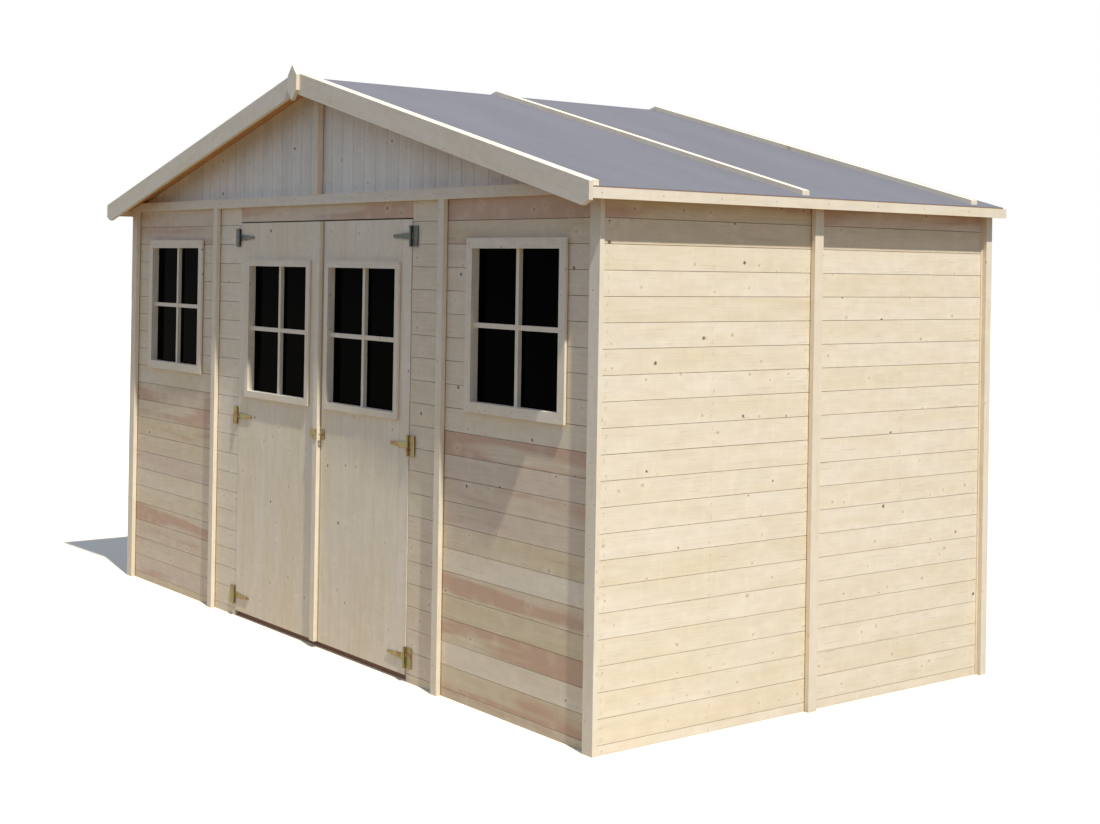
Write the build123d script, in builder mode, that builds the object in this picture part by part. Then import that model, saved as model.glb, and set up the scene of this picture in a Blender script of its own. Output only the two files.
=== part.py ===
"""Wooden garden shed with a low pitched felt roof and a pair of half-glazed doors in its gable front.

Millimetres, +Z up. The origin is on the ground at the middle of the footprint, under the middle floor
bearer. +X runs to the right along the front, and the doors face -Y.
"""
import os
from math import cos, radians, sin, tan

from build123d import *

os.makedirs("parts", exist_ok=True)

# Walls: framed panels, boarded on the outside
width = 4000
depth = 2110
board_cover = 92
board_rows = 21
foot_strip = 35
cladding = 16
stud_depth = 28
stud_width = 45
stud_spacing = 520

# Cover strips over corners and panel joints
corner_batten_width = 57
rear_batten_width = 36
joint_batten_width = 40
side_joint_batten_width = 46
batten_thickness = 20
gable_batten_thickness = 28
trim_height = 44
trim_lap = 7

# Roof
roof_pitch = 14.67
eave_rise = 7
deck_thickness = 18
felt_thickness = 3
side_overhang = 60
front_overhang = 116
rear_overhang = 20
fascia_thickness = 16
fascia_height = 38
fascia_drop = 3
bargeboard_thickness = 18
bargeboard_depth = 90
bargeboard_clip_height = 28
bargeboard_clip_width = 38
felt_batten_width = 38
felt_batten_thickness = 18
felt_batten_stop = 34
felt_batten_ridge_gap = 2
felt_batten_places = [-85, 925]
finial_width = 78
finial_height = 156
finial_point = 44
finial_thickness = 16
finial_above_boards = 30

# Purlins inside the roof
purlin_width = 45
purlin_depth = 95
purlin_place = 1000

# Floor
bearer_width = 58
bearer_height = 28
bearer_count = 5
floor_thickness = 16
threshold_height = 22
threshold_recess = 22

# Doorway and doors
doorway_width = 1530
doorway_top = 1890
door_strip_width = 235
door_gap = 6
leaf_boards = 16
leaf_frame_depth = 28
leaf_stile_width = 60
leaf_rail_width = 90
meeting_setback = 10
meeting_strip_place = 18
meeting_strip_width = 36
meeting_strip_thickness = 18

# Windows: one glass size in the walls and in the doors
glass_width = 550
glass_height = 592
glass_thickness = 4
glass_recess = 25
liner_thickness = 12
casing_thickness = 10
wall_casing_width = 40
door_casing_width = 30
wall_window_middle = 1470
door_window_place = 375
door_window_middle = 1385

# Tee hinges
hinge_heights = [101, 962, 1816]
hinge_plate_width = 40
hinge_plate_height = 85
hinge_plate_thickness = 2.5
hinge_stand_off = 8
knuckle_radius = 5
knuckle_gap = 0.4
strap_knuckle_height = 28
pin_radius = 2.5
pin_clearance = 0.4
pin_head = 1.5
strap_length = 135
strap_root_width = 30
strap_tip_width = 12

# Hasp and staple
hasp_height = 943
hasp_width = 44
hasp_plate_length = 55
hasp_thickness = 2.5
staple_plate_length = 30
staple_plate_gap = 3
staple_stand_off = 14
staple_wire = 5

# Worked out from the sizes above
wall_height = foot_strip + board_rows * board_cover
wall_thickness = cladding + stud_depth
half_width = width / 2
half_depth = depth / 2
module_joint = doorway_width / 2 + door_strip_width
wall_window_place = (module_joint + joint_batten_width / 2 + half_width - corner_batten_width) / 2
slope = tan(radians(roof_pitch))
ridge_underside = wall_height + eave_rise + half_width * slope
deck_rise = deck_thickness / cos(radians(roof_pitch))
felt_rise = felt_thickness / cos(radians(roof_pitch))
felt_batten_rise = felt_batten_thickness / cos(radians(roof_pitch))
deck_edge = half_width + side_overhang
deck_front = -half_depth - front_overhang
deck_back = half_depth + rear_overhang
inner_front = -half_depth + wall_thickness
floor_top = bearer_height + floor_thickness
leaf_bottom = threshold_height + door_gap
leaf_top = doorway_top - door_gap
leaf_outer = doorway_width / 2 - door_gap
strip_left = meeting_strip_place - meeting_strip_width / 2
strip_right = meeting_strip_place + meeting_strip_width / 2
hinge_x = doorway_width / 2 - door_gap / 2
hinge_y = -half_depth - hinge_stand_off
hole_width = glass_width + 2 * liner_thickness
hole_height = glass_height + 2 * liner_thickness

# Each wall's outer face: local x runs along the wall, local y is up, and the normal points outwards
front_face = Plane(origin=(0, -half_depth, 0), x_dir=(1, 0, 0), z_dir=(0, -1, 0))
rear_face = Plane(origin=(0, half_depth, 0), x_dir=(-1, 0, 0), z_dir=(0, 1, 0))
right_face = Plane(origin=(half_width, 0, 0), x_dir=(0, 1, 0), z_dir=(1, 0, 0))
left_face = Plane(origin=(-half_width, 0, 0), x_dir=(0, -1, 0), z_dir=(-1, 0, 0))

# The underside of each roof slope, with its normal pointing up and out
pitch = radians(roof_pitch)
right_slope = Plane(origin=(0, 0, ridge_underside), x_dir=(0, 1, 0), z_dir=(sin(pitch), 0, cos(pitch)))
left_slope = Plane(origin=(0, 0, ridge_underside), x_dir=(0, 1, 0), z_dir=(-sin(pitch), 0, cos(pitch)))

pieces = {}


def roof_underside(x):
    """Height of the underside of the roof boards at a distance x from the ridge."""
    return ridge_underside - abs(x) * slope


def spread(low, high, pitch_wanted):
    """Even places between two ends, about pitch_wanted apart, without the ends."""
    bays = max(1, round((high - low) / pitch_wanted))
    return [low + (high - low) * i / bays for i in range(1, bays)]


def panel_rectangle(low, high, bottom, top, mode=Mode.ADD):
    """A rectangle given by its edges in the plane that is being drawn on."""
    with Locations(((low + high) / 2, (bottom + top) / 2)):
        Rectangle(high - low, top - bottom, mode=mode)


def wall_panel(face, low, high, bottom, top, window=None):
    """A boarded panel on a frame of rails and studs, with a window hole where one is given."""
    with BuildPart() as panel:
        with BuildSketch(face):
            panel_rectangle(low, high, bottom, top)
        extrude(amount=-cladding)
        with BuildSketch(face.offset(-cladding)):
            panel_rectangle(low, high, bottom, top)
            inner_low = low + stud_width
            inner_high = high - stud_width
            if inner_high > inner_low and top - bottom > 2 * stud_width:
                panel_rectangle(inner_low, inner_high, bottom + stud_width, top - stud_width, Mode.SUBTRACT)
                for place in spread(low, high, stud_spacing):
                    panel_rectangle(place - stud_width / 2, place + stud_width / 2, bottom, top)
            if window:
                reach = stud_width
                panel_rectangle(
                    window[0] - hole_width / 2 - reach,
                    window[0] + hole_width / 2 + reach,
                    window[1] - hole_height / 2 - reach,
                    window[1] + hole_height / 2 + reach,
                )
        extrude(amount=-stud_depth)
        if window:
            with BuildSketch(face):
                with Locations(window):
                    Rectangle(hole_width, hole_height)
            extrude(amount=-wall_thickness, mode=Mode.SUBTRACT)
    return panel


def under_roof(piece):
    """The piece with what reaches above the underside of the roof boards cut off."""
    with BuildPart() as cut:
        add(piece.part)
        split(bisect_by=right_slope, keep=Keep.BOTTOM)
        split(bisect_by=left_slope, keep=Keep.BOTTOM)
    return cut


def gable_panel(face, low, high):
    """Half a gable: vertical boards on a frame that follows the slope."""
    middle = (low + high) / 2
    purlin_mark = purlin_place if middle > 0 else -purlin_place
    ring = [(low, wall_height), (high, wall_height), (high, roof_underside(high)), (low, roof_underside(low))]
    with BuildPart() as gable:
        with BuildSketch(face):
            with BuildLine():
                Polyline(*ring, close=True)
            make_face()
        extrude(amount=-cladding)
        with BuildSketch(face.offset(-cladding)):
            with BuildLine():
                Polyline(*ring, close=True)
            make_face()
            offset(amount=-stud_width, mode=Mode.SUBTRACT)
        extrude(amount=-stud_depth)
        with BuildSketch(face.offset(-cladding)):
            half = stud_width / 2
            with BuildLine():
                Polyline(
                    (purlin_mark - half, wall_height),
                    (purlin_mark + half, wall_height),
                    (purlin_mark + half, roof_underside(purlin_mark + half)),
                    (purlin_mark - half, roof_underside(purlin_mark - half)),
                    close=True,
                )
            make_face()
        extrude(amount=-stud_depth)
    return gable


def window_frame(face, places, middle, casing_width):
    """Casing on the boards and a liner through the wall, one at each place."""
    with BuildPart() as frame:
        for place in places:
            with BuildSketch(face):
                with Locations((place, middle)):
                    Rectangle(glass_width + 2 * casing_width, glass_height + 2 * casing_width)
                    Rectangle(glass_width, glass_height, mode=Mode.SUBTRACT)
            extrude(amount=casing_thickness)
            with BuildSketch(face):
                with Locations((place, middle)):
                    Rectangle(hole_width, hole_height)
                    Rectangle(glass_width, glass_height, mode=Mode.SUBTRACT)
            extrude(amount=-wall_thickness)
    return frame


def window_pane(face, places, middle):
    """A sheet of glazing inside the liner, one at each place."""
    with BuildPart() as pane:
        with BuildSketch(face.offset(-glass_recess)):
            with Locations(*[(place, middle) for place in places]):
                Rectangle(glass_width, glass_height)
        extrude(amount=-glass_thickness)
    return pane


def standing_batten(face, places, strip_width, bottom, top, thickness=batten_thickness):
    """Upright cover strips on a wall's face, one centred on each place."""
    with BuildPart() as batten:
        with BuildSketch(face):
            with Locations(*[(place, (bottom + top) / 2) for place in places]):
                Rectangle(strip_width, top - bottom)
        extrude(amount=thickness)
    return batten


def joined(*parts):
    """Several builders' solids as one node, for pieces that don't touch."""
    with BuildPart() as group:
        for part in parts:
            add(part.part)
    return group


# Floor
with BuildPart() as floor_bearers:
    bearer_length = width - 2 * wall_thickness
    bearer_pitch = (depth - 2 * wall_thickness - bearer_width) / (bearer_count - 1)
    with GridLocations(1, bearer_pitch, 1, bearer_count):
        Box(bearer_length, bearer_width, bearer_height, align=(Align.CENTER, Align.CENTER, Align.MIN))
pieces["floor_bearers"] = floor_bearers

with BuildPart() as floor_boards:
    with BuildSketch(Plane.XY.offset(bearer_height)):
        Rectangle(width - 2 * wall_thickness, depth - 2 * wall_thickness)
    extrude(amount=floor_thickness)
pieces["floor_boards"] = floor_boards

with BuildPart() as threshold:
    with BuildSketch(front_face.offset(-threshold_recess)):
        panel_rectangle(-doorway_width / 2, doorway_width / 2, 0, threshold_height)
    extrude(amount=-(wall_thickness - threshold_recess))
pieces["threshold"] = threshold

# Front wall: a window panel each side, narrow strips beside the doorway and a lintel over it
front_inner_edge = half_width - wall_thickness
for side, name in ((-1, "left"), (1, "right")):
    edges = sorted((side * module_joint, side * front_inner_edge))
    window = (side * wall_window_place, wall_window_middle)
    pieces[f"front_{name}_panel"] = wall_panel(front_face, *edges, 0, wall_height, window)
    edges = sorted((side * doorway_width / 2, side * module_joint))
    pieces[f"door_strip_{name}"] = wall_panel(front_face, *edges, 0, wall_height)
doorway_edges = (-doorway_width / 2, doorway_width / 2)
pieces["door_lintel"] = wall_panel(front_face, *doorway_edges, doorway_top, wall_height)

# Side walls: two panels each, up to the roof boards
side_top = roof_underside(half_width - wall_thickness)
side_back = half_depth - wall_thickness
pieces["right_wall_front"] = under_roof(wall_panel(right_face, -half_depth, 0, 0, side_top))
pieces["right_wall_rear"] = under_roof(wall_panel(right_face, 0, side_back, 0, side_top))
pieces["left_wall_front"] = under_roof(wall_panel(left_face, 0, half_depth, 0, side_top))
pieces["left_wall_rear"] = under_roof(wall_panel(left_face, -side_back, 0, 0, side_top))

# Rear wall, seen from behind its left end is at +X
pieces["rear_panel_right"] = wall_panel(rear_face, -half_width, -module_joint, 0, wall_height)
pieces["rear_panel_middle"] = wall_panel(rear_face, -module_joint, module_joint, 0, wall_height)
pieces["rear_panel_left"] = wall_panel(rear_face, module_joint, half_width, 0, wall_height)

# Gables
pieces["front_gable_left"] = gable_panel(front_face, -front_inner_edge, 0)
pieces["front_gable_right"] = gable_panel(front_face, 0, front_inner_edge)
pieces["rear_gable_right"] = gable_panel(rear_face, -half_width, 0)
pieces["rear_gable_left"] = gable_panel(rear_face, 0, half_width)

# Purlins between the gables, under the ridge and halfway down each slope
with BuildPart() as purlins:
    for place in (-purlin_place, 0, purlin_place):
        top = roof_underside(max(0, abs(place) - purlin_width / 2))
        with BuildSketch(front_face.offset(-wall_thickness)):
            panel_rectangle(place - purlin_width / 2, place + purlin_width / 2, top - purlin_depth, top)
        extrude(amount=-(depth - 2 * wall_thickness))
pieces["roof_purlins"] = under_roof(purlins)

# Roof boards, felt, and the battens that hold the felt down
for side, name in ((-1, "left"), (1, "right")):
    with BuildPart() as deck:
        with BuildSketch(Plane(origin=(0, deck_front, 0), x_dir=(1, 0, 0), z_dir=(0, -1, 0))):
            with BuildLine():
                Polyline(
                    (0, ridge_underside),
                    (side * deck_edge, roof_underside(deck_edge)),
                    (side * deck_edge, roof_underside(deck_edge) + deck_rise),
                    (0, ridge_underside + deck_rise),
                    close=True,
                )
            make_face()
        extrude(amount=-(deck_back - deck_front))
    pieces[f"roof_boards_{name}"] = deck

with BuildPart() as felt:
    with BuildSketch(Plane(origin=(0, deck_front, 0), x_dir=(1, 0, 0), z_dir=(0, -1, 0))):
        with BuildLine():
            Polyline(
                (-deck_edge, roof_underside(deck_edge) + deck_rise),
                (0, ridge_underside + deck_rise),
                (deck_edge, roof_underside(deck_edge) + deck_rise),
                (deck_edge, roof_underside(deck_edge) + deck_rise + felt_rise),
                (0, ridge_underside + deck_rise + felt_rise),
                (-deck_edge, roof_underside(deck_edge) + deck_rise + felt_rise),
                close=True,
            )
        make_face()
    extrude(amount=-(deck_back - deck_front))
pieces["roof_felt"] = felt

with BuildPart() as felt_battens:
    felt_top = deck_rise + felt_rise
    verge_place = deck_front + felt_batten_width / 2
    for place in [verge_place, *felt_batten_places]:
        foot = deck_edge if place == verge_place else deck_edge - felt_batten_stop
        for side in (-1, 1):
            start = felt_batten_ridge_gap / 2
            with BuildSketch(Plane(origin=(0, place - felt_batten_width / 2, 0), z_dir=(0, -1, 0), x_dir=(1, 0, 0))):
                with BuildLine():
                    Polyline(
                        (side * start, roof_underside(start) + felt_top),
                        (side * foot, roof_underside(foot) + felt_top),
                        (side * foot, roof_underside(foot) + felt_top + felt_batten_rise),
                        (side * start, roof_underside(start) + felt_top + felt_batten_rise),
                        close=True,
                    )
                make_face()
            extrude(amount=-felt_batten_width)
pieces["felt_battens"] = felt_battens

with BuildPart() as eave_fascias:
    fascia_top = roof_underside(deck_edge) + deck_rise - fascia_drop
    for side in (-1, 1):
        with Locations((side * (deck_edge + fascia_thickness / 2), (deck_front + deck_back) / 2, fascia_top)):
            Box(
                fascia_thickness,
                deck_back - deck_front,
                fascia_height,
                align=(Align.CENTER, Align.CENTER, Align.MAX),
            )
pieces["eave_fascias"] = eave_fascias

# Bargeboards, plumb cut at the ridge and clipped at the foot, and the finial over their joint
barge_end = deck_edge + fascia_thickness
barge_rise = bargeboard_depth / cos(pitch)
barge_plane = Plane(origin=(0, deck_front, 0), x_dir=(1, 0, 0), z_dir=(0, -1, 0))


def barge_top(x):
    """Height of the bargeboards' upper edge at a distance x from the ridge, level with the felt battens."""
    return roof_underside(x) + deck_rise + felt_rise + felt_batten_rise


for side, name in ((-1, "left"), (1, "right")):
    with BuildPart() as bargeboard:
        with BuildSketch(barge_plane):
            clip_start = barge_end - bargeboard_clip_width
            with BuildLine():
                Polyline(
                    (0, barge_top(0)),
                    (side * barge_end, barge_top(barge_end)),
                    (side * barge_end, barge_top(barge_end) - barge_rise + bargeboard_clip_height),
                    (side * clip_start, barge_top(clip_start) - barge_rise),
                    (0, barge_top(0) - barge_rise),
                    close=True,
                )
            make_face()
        extrude(amount=bargeboard_thickness)
    pieces[f"front_bargeboard_{name}"] = bargeboard

with BuildPart() as finial:
    with BuildSketch(barge_plane.offset(bargeboard_thickness)):
        finial_top = barge_top(0) + finial_above_boards
        finial_bottom = finial_top - finial_height
        with BuildLine():
            Polyline(
                (0, finial_top),
                (finial_width / 2, finial_top - finial_point),
                (finial_width / 2, finial_bottom + finial_point),
                (0, finial_bottom),
                (-finial_width / 2, finial_bottom + finial_point),
                (-finial_width / 2, finial_top - finial_point),
                close=True,
            )
        make_face()
    extrude(amount=finial_thickness)
pieces["finial"] = finial

# Trim across the foot of each gable, and the cover battens below and above it
trim_bottom = wall_height - trim_lap
trim_top = trim_bottom + trim_height
with BuildPart() as trims:
    for face in (front_face, rear_face):
        with BuildSketch(face):
            panel_rectangle(-half_width, half_width, trim_bottom, trim_top)
        extrude(amount=batten_thickness)
pieces["gable_trims"] = under_roof(trims)

front_corner_place = half_width - corner_batten_width / 2
rear_corner_place = half_depth - rear_batten_width / 2
front_corners = standing_batten(
    front_face, (-front_corner_place, front_corner_place), corner_batten_width, 0, trim_bottom
)
right_rear_corner = standing_batten(right_face, (rear_corner_place,), rear_batten_width, 0, side_top)
left_rear_corner = standing_batten(left_face, (-rear_corner_place,), rear_batten_width, 0, side_top)
pieces["corner_battens"] = under_roof(joined(front_corners, right_rear_corner, left_rear_corner))

joints = (-module_joint, module_joint)
pieces["joint_battens"] = under_roof(
    joined(
        standing_batten(front_face, joints, joint_batten_width, 0, trim_bottom),
        standing_batten(rear_face, joints, joint_batten_width, 0, trim_bottom),
        standing_batten(right_face, (0,), side_joint_batten_width, 0, side_top),
        standing_batten(left_face, (0,), side_joint_batten_width, 0, side_top),
        standing_batten(
            front_face, (0,), joint_batten_width, trim_top, ridge_underside, gable_batten_thickness
        ),
        standing_batten(
            rear_face, (0,), joint_batten_width, trim_top, ridge_underside, gable_batten_thickness
        ),
    )
)

# Windows in the front wall
wall_windows = (-wall_window_place, wall_window_place)
pieces["window_frames"] = window_frame(front_face, wall_windows, wall_window_middle, wall_casing_width)
pieces["window_panes"] = window_pane(front_face, wall_windows, wall_window_middle)


def door_leaf(hinge_edge, meeting_edge, window_place):
    """A boarded leaf on a ledged frame, with a window hole; the frame stops short of the meeting edge."""
    low, high = sorted((hinge_edge, meeting_edge))
    frame_low = low + (meeting_setback if meeting_edge < hinge_edge else 0)
    frame_high = high - (meeting_setback if meeting_edge > hinge_edge else 0)
    rail = leaf_rail_width
    sill = door_window_middle - hole_height / 2
    with BuildPart() as leaf:
        with BuildSketch(front_face):
            panel_rectangle(low, high, leaf_bottom, leaf_top)
        extrude(amount=-leaf_boards)
        with BuildSketch(front_face.offset(-leaf_boards)):
            panel_rectangle(frame_low, frame_high, leaf_bottom, leaf_top)
            stile = leaf_stile_width
            inner = (frame_low + stile, frame_high - stile)
            panel_rectangle(*inner, leaf_bottom + rail, sill - rail, Mode.SUBTRACT)
        extrude(amount=-leaf_frame_depth)
        with BuildSketch(front_face):
            with Locations((window_place, door_window_middle)):
                Rectangle(hole_width, hole_height)
        extrude(amount=-(leaf_boards + leaf_frame_depth), mode=Mode.SUBTRACT)
    return leaf


pieces["left_door_leaf"] = door_leaf(-leaf_outer, strip_right, -door_window_place)
pieces["right_door_leaf"] = door_leaf(leaf_outer, strip_right + door_gap, door_window_place)
for side, name in ((-1, "left"), (1, "right")):
    place = (side * door_window_place,)
    pieces[f"{name}_door_window"] = window_frame(front_face, place, door_window_middle, door_casing_width)
    pieces[f"{name}_door_pane"] = window_pane(front_face, place, door_window_middle)

pieces["meeting_strip"] = standing_batten(
    front_face, (meeting_strip_place,), meeting_strip_width, leaf_bottom, leaf_top, meeting_strip_thickness
)

# Tee hinges: the plate and its two knuckles hold the pin, and the strap's knuckle turns on it
with BuildPart() as hinge_plates:
    for side in (-1, 1):
        axis_x = side * hinge_x
        plate_near = axis_x + side * knuckle_radius / 2
        plate_far = axis_x + side * (knuckle_radius + hinge_plate_width)
        low, high = sorted((plate_near, plate_far))
        for height in hinge_heights:
            half_plate = hinge_plate_height / 2
            with BuildSketch(front_face):
                panel_rectangle(low, high, height - half_plate, height + half_plate)
                panel_rectangle(
                    axis_x - knuckle_radius * 2,
                    axis_x + knuckle_radius * 2,
                    height - strap_knuckle_height / 2 - knuckle_gap,
                    height + strap_knuckle_height / 2 + knuckle_gap,
                    Mode.SUBTRACT,
                )
            extrude(amount=hinge_plate_thickness)
            for bottom in (height - half_plate, height + strap_knuckle_height / 2 + knuckle_gap):
                knuckle_height = half_plate - strap_knuckle_height / 2 - knuckle_gap
                with BuildSketch(Plane.XY.offset(bottom)):
                    with Locations((axis_x, hinge_y)):
                        Circle(knuckle_radius)
                    web = (axis_x + side * knuckle_radius * 0.75, (hinge_y - half_depth) / 2)
                    with Locations(web):
                        Rectangle(knuckle_radius / 2, hinge_stand_off)
                extrude(amount=knuckle_height)
            with BuildSketch(Plane.XY.offset(height - half_plate - pin_head)):
                with Locations((axis_x, hinge_y)):
                    Circle(pin_radius)
            extrude(amount=hinge_plate_height + 2 * pin_head)
pieces["hinge_plates"] = hinge_plates

for side, name in ((-1, "left"), (1, "right")):
    axis_x = side * hinge_x
    root = axis_x - side * knuckle_radius / 2
    tip = axis_x - side * strap_length
    with BuildPart() as straps:
        for height in hinge_heights:
            half_root = strap_root_width / 2
            half_tip = strap_tip_width / 2
            with BuildSketch(front_face):
                with BuildLine():
                    Polyline((tip, height + half_tip), (root, height + half_root), (root, height - half_root))
                    Line((root, height - half_root), (tip, height - half_tip))
                    ThreePointArc(
                        (tip, height - half_tip), (tip - side * half_tip, height), (tip, height + half_tip)
                    )
                make_face()
            extrude(amount=hinge_plate_thickness)
            with BuildSketch(Plane.XY.offset(height - strap_knuckle_height / 2)):
                with Locations((axis_x, hinge_y)):
                    Circle(knuckle_radius)
                web = (axis_x - side * knuckle_radius * 0.75, (hinge_y - half_depth) / 2)
                with Locations(web):
                    Rectangle(knuckle_radius / 2, hinge_stand_off)
            extrude(amount=strap_knuckle_height)
            with BuildSketch(Plane.XY.offset(height - strap_knuckle_height / 2)):
                with Locations((axis_x, hinge_y)):
                    Circle(pin_radius + pin_clearance)
            extrude(amount=strap_knuckle_height, mode=Mode.SUBTRACT)
    pieces[f"{name}_hinge_straps"] = straps

# Hasp on the left leaf, bent over the meeting strip, and its staple on the right leaf
strip_face = -half_depth - meeting_strip_thickness
with BuildPart() as hasp:
    with BuildSketch(Plane.XY.offset(hasp_height - hasp_width / 2)):
        with BuildLine():
            Polyline(
                (strip_left - hasp_plate_length, -half_depth),
                (strip_left, -half_depth),
                (strip_left, strip_face),
                (strip_right, strip_face),
                (strip_right, strip_face - hasp_thickness),
                (strip_left - hasp_thickness, strip_face - hasp_thickness),
                (strip_left - hasp_thickness, -half_depth - hasp_thickness),
                (strip_left - hasp_plate_length, -half_depth - hasp_thickness),
                close=True,
            )
        make_face()
    extrude(amount=hasp_width)
    round_end = hasp.edges().filter_by(Axis.Y).group_by(Axis.X)[0]
    fillet(round_end, hasp_width / 2 - 1)
pieces["hasp"] = hasp

with BuildPart() as staple:
    plate_start = strip_right + door_gap + staple_plate_gap
    plate_middle = plate_start + staple_plate_length / 2
    with BuildSketch(front_face):
        with Locations((plate_middle, hasp_height)):
            RectangleRounded(staple_plate_length, hasp_width, staple_wire)
    extrude(amount=hasp_thickness)
    with BuildSketch(front_face.offset(hasp_thickness)):
        with Locations((plate_middle, hasp_height)):
            Rectangle(staple_plate_length / 2, staple_wire)
    extrude(amount=staple_stand_off)
    with BuildSketch(front_face.offset(hasp_thickness)):
        with Locations((plate_middle, hasp_height)):
            Rectangle(staple_plate_length / 2 - 2 * staple_wire, staple_wire)
    extrude(amount=staple_stand_off - staple_wire, mode=Mode.SUBTRACT)
pieces["hasp_staple"] = staple

for name, piece in pieces.items():
    piece.part.label = name
    export_step(piece.part, f"parts/{name}.step")
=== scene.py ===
"""Looks of a wooden garden shed: boards, glazing bars, nails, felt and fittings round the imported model.

Metres, +Z up, +X to the right along the gable front, and the doors face -Y, as in the model.
"""
import math
import random

import bmesh
import bpy
from mathutils import Matrix, Vector


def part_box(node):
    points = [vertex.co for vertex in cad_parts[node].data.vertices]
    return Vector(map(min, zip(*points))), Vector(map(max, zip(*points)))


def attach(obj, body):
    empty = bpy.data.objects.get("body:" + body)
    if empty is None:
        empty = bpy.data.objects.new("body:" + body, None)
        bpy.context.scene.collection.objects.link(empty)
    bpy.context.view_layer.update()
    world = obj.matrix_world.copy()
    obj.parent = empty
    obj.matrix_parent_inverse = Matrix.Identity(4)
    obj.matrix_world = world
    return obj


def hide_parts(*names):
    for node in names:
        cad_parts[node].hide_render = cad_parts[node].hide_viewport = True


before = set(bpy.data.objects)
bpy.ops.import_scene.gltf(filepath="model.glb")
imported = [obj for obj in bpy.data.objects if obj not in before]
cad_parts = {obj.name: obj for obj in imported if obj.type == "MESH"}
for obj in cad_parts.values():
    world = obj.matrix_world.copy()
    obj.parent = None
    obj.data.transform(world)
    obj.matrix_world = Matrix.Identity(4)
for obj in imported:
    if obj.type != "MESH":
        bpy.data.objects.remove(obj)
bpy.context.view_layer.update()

bl_info = {
    "name": "Wooden garden shed",
    "version": (1, 0, 0),
    "blender": (4, 5, 0),
    "location": "3D View > Sidebar > Shed",
    "description": "Dresses the shed model with boards, glazing bars, nails, felt and fittings",
    "category": "Object",
}

# Places read from the model
FRONT_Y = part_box("front_left_panel")[0].y
REAR_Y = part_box("rear_panel_middle")[1].y
SIDE_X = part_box("right_wall_front")[1].x
INNER_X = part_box("front_right_panel")[1].x
INNER_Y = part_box("right_wall_rear")[1].y
WALL_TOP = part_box("front_left_panel")[1].z
JOINT_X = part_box("front_right_panel")[0].x
DOORWAY_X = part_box("door_strip_right")[0].x
LINTEL_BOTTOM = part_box("door_lintel")[0].z
RIDGE_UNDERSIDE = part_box("front_gable_left")[1].z
DECK_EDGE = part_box("roof_felt")[1].x
DECK_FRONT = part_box("roof_felt")[0].y
DECK_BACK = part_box("roof_felt")[1].y
FELT_THICKNESS = 0.003
SLOPE = (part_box("roof_felt")[1].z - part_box("roof_felt")[0].z - FELT_THICKNESS) / DECK_EDGE
PITCH = math.atan(SLOPE)

# Sizes that the model has no box for
FOOT_STRIP = 0.035
CLADDING = 0.016
DECK_THICKNESS = 0.018
WINDOW_LINER = 0.012
PLATE_THICKNESS = 0.0025  # of the hinges and the hasp

SLIVER = 0.03  # a board narrower than this joins its neighbour
DOOR_GROOVE = 0.5  # the doors' grooves, as a share of the walls'
MERGE_DISTANCE = 0.00001

# How red each board is, by its row from the ground: 1 is all heartwood
HEARTWOOD_ROWS = {
    "front_right_panel": {
        20: 1.0, 19: 0.6, 18: 0.3, 11: 0.1, 10: 1.0, 9: 0.6, 8: 0.6, 7: 0.55, 6: 0.6, 5: 0.1, 4: 0.8, 3: 0.5,
        2: 0.95, 1: 0.1, 0: 0.72,
    },
    "front_left_panel": {
        20: 0.6, 19: 0.8, 18: 0.3, 10: 0.6, 9: 0.9, 8: 0.6, 7: 0.7, 6: 0.55, 4: 0.3, 3: 0.95, 2: 0.5, 1: 0.4,
        0: 0.5,
    },
    "door_lintel": {20: 0.7},
    "right_wall_front": {20: 0.8, 19: 0.4},
    "right_wall_rear": {20: 0.75, 19: 0.4},
}
USUAL_HEARTWOOD = {
    "front_right_panel": 0.2, "front_left_panel": 0.25, "door_strip_right": 0.25, "door_lintel": 0.5,
}

# Directions of the grain: along it and across it
LEVEL, UPRIGHT = ((1, 1, 0), (0, 0, 1)), ((0, 0, 1), (1, 1, 0))
TO_THE_BACK, TO_THE_SIDE = ((0, 1, 0), (1, 0, 1)), ((1, 0, 0), (0, 1, 0))
LEFT_RAKE, RIGHT_RAKE = ((1, 0, 0), (-SLOPE, 1, 1)), ((1, 0, 0), (SLOPE, 1, 1))

# Finishes of spruce: material, grain, roughness, strength of the knots, lightness, and stain if it has one
WOODS = {
    "level_boards": ("spruce_boards_laid_level", LEVEL, 0.62, 1.0, 1.0, None),
    "upright_boards": ("spruce_boards_set_upright", UPRIGHT, 0.62, 1.0, 1.0, None),
    # The gables' stain is painted cool shade light: their boards are drawn cooler and less yellow for the
    # shade under the roof's overhang
    "gable_boards": ("bleached_spruce_gable_boards", UPRIGHT, 0.62, 1.0, 1.0, "gable_wood"),
    "deck_boards": ("sawn_spruce_roof_boards", TO_THE_BACK, 0.75, 1.0, 1.0, "soffit"),
    "floor_boards": ("spruce_floor_boards", TO_THE_SIDE, 0.7, 1.0, 0.95, None),
    # The threshold's brown is partly real wood and partly painted shade from the door leaves above it
    "threshold": ("brown_spruce_threshold", TO_THE_SIDE, 0.75, 1.0, 1.0, "threshold"),
    "framing": ("sawn_spruce_framing", UPRIGHT, 0.78, 0.6, 0.9, None),
    "level_trim": ("planed_spruce_level_trim", LEVEL, 0.62, 0.6, 0.97, None),
    "upright_trim": ("planed_spruce_upright_trim", UPRIGHT, 0.62, 0.6, 0.97, None),
    "long_trim": ("planed_spruce_long_trim", TO_THE_BACK, 0.62, 0.8, 0.97, None),
    "cross_trim": ("planed_spruce_cross_trim", TO_THE_SIDE, 0.62, 0.6, 0.97, None),
    "left_rake": ("planed_spruce_left_rake", LEFT_RAKE, 0.62, 1.0, 0.9, None),
    "right_rake": ("planed_spruce_right_rake", RIGHT_RAKE, 0.62, 1.0, 0.9, None),
}

MATH, VECTOR_MATH, MIX = "ShaderNodeMath", "ShaderNodeVectorMath", "ShaderNodeMix"


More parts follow.
